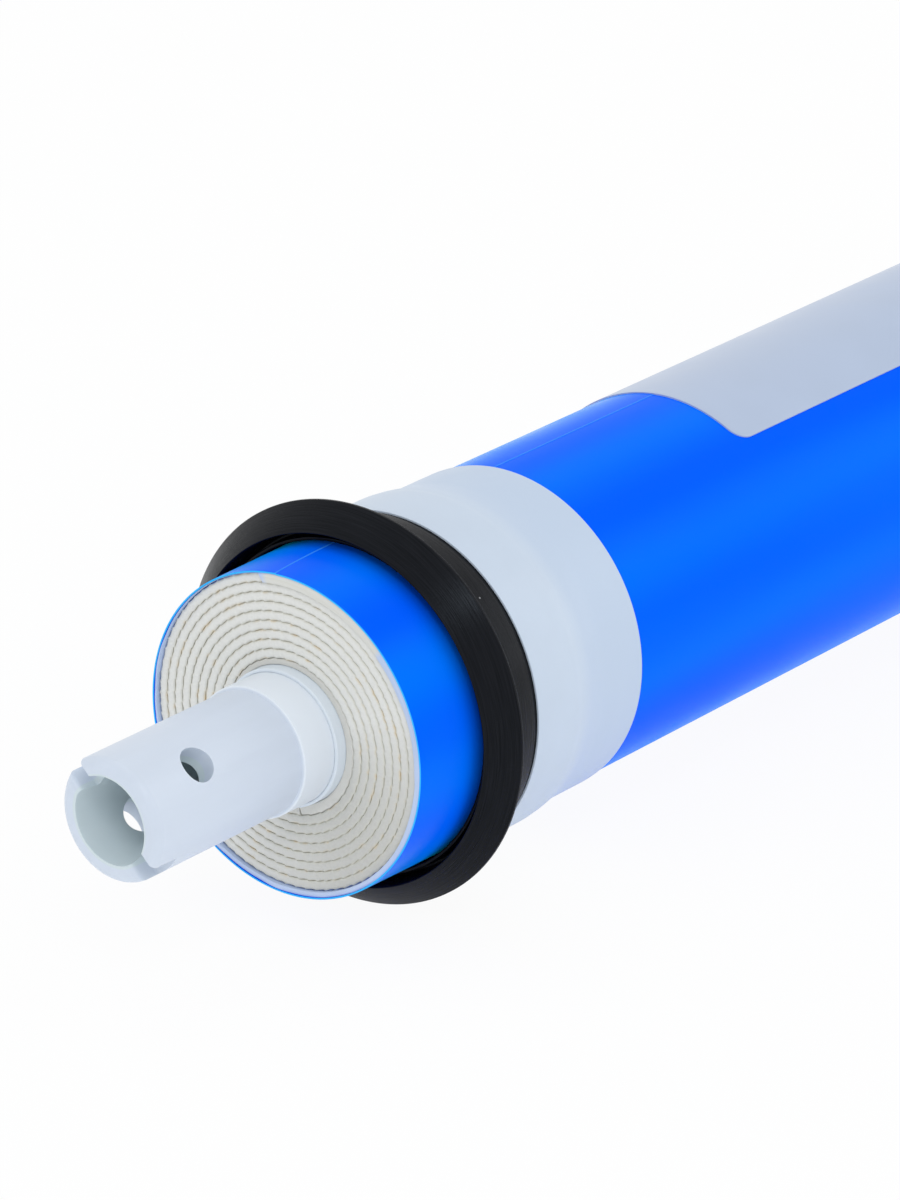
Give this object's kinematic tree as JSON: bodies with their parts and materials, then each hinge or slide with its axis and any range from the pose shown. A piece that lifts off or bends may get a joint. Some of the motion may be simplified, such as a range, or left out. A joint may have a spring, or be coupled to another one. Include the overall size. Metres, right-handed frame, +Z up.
{
  "type": "ro membrane element",
  "caption": "Spiral-wound reverse osmosis element: a blue film-wrapped roll on a notched product water tube, with a flared black brine seal held by white tape.",
  "frame": {"origin": "on the product tube's axis, half way along the element's overall length", "axes": "+Y along the tube's axis towards the O-ring (product) end, so the brine seal is at -Y; +Z up as the element lies on its side"},
  "size_m": [0.0558, 0.298, 0.0558],
  "materials": {
    "tube_plastic": "satin moulded plastic, cool white",
    "o_ring_rubber": "matt black rubber",
    "core_tape": "smooth white tape",
    "membrane": "cut edges of coated polyester sheet, cream",
    "spacer_net": "open polypropylene net",
    "wrap_white": "thin white sheet",
    "film_blue": "glossy blue film",
    "seal_rubber": "black moulded rubber with a dull sheen",
    "tape_white": "smooth white vinyl tape",
    "label_white": "satin white label stock"
  },
  "bodies": {
    "root": {"product_tube": "tube_plastic", "inner_o_ring": "o_ring_rubber", "outer_o_ring": "o_ring_rubber", "core_wrap": "core_tape", "membrane_leaf": "membrane", "feed_spacer": "spacer_net", "inner_wrap": "wrap_white", "outer_film": "film_blue", "brine_seal": "seal_rubber", "seal_tape": "tape_white", "label": "label_white"}
  },
  "joints": []
}
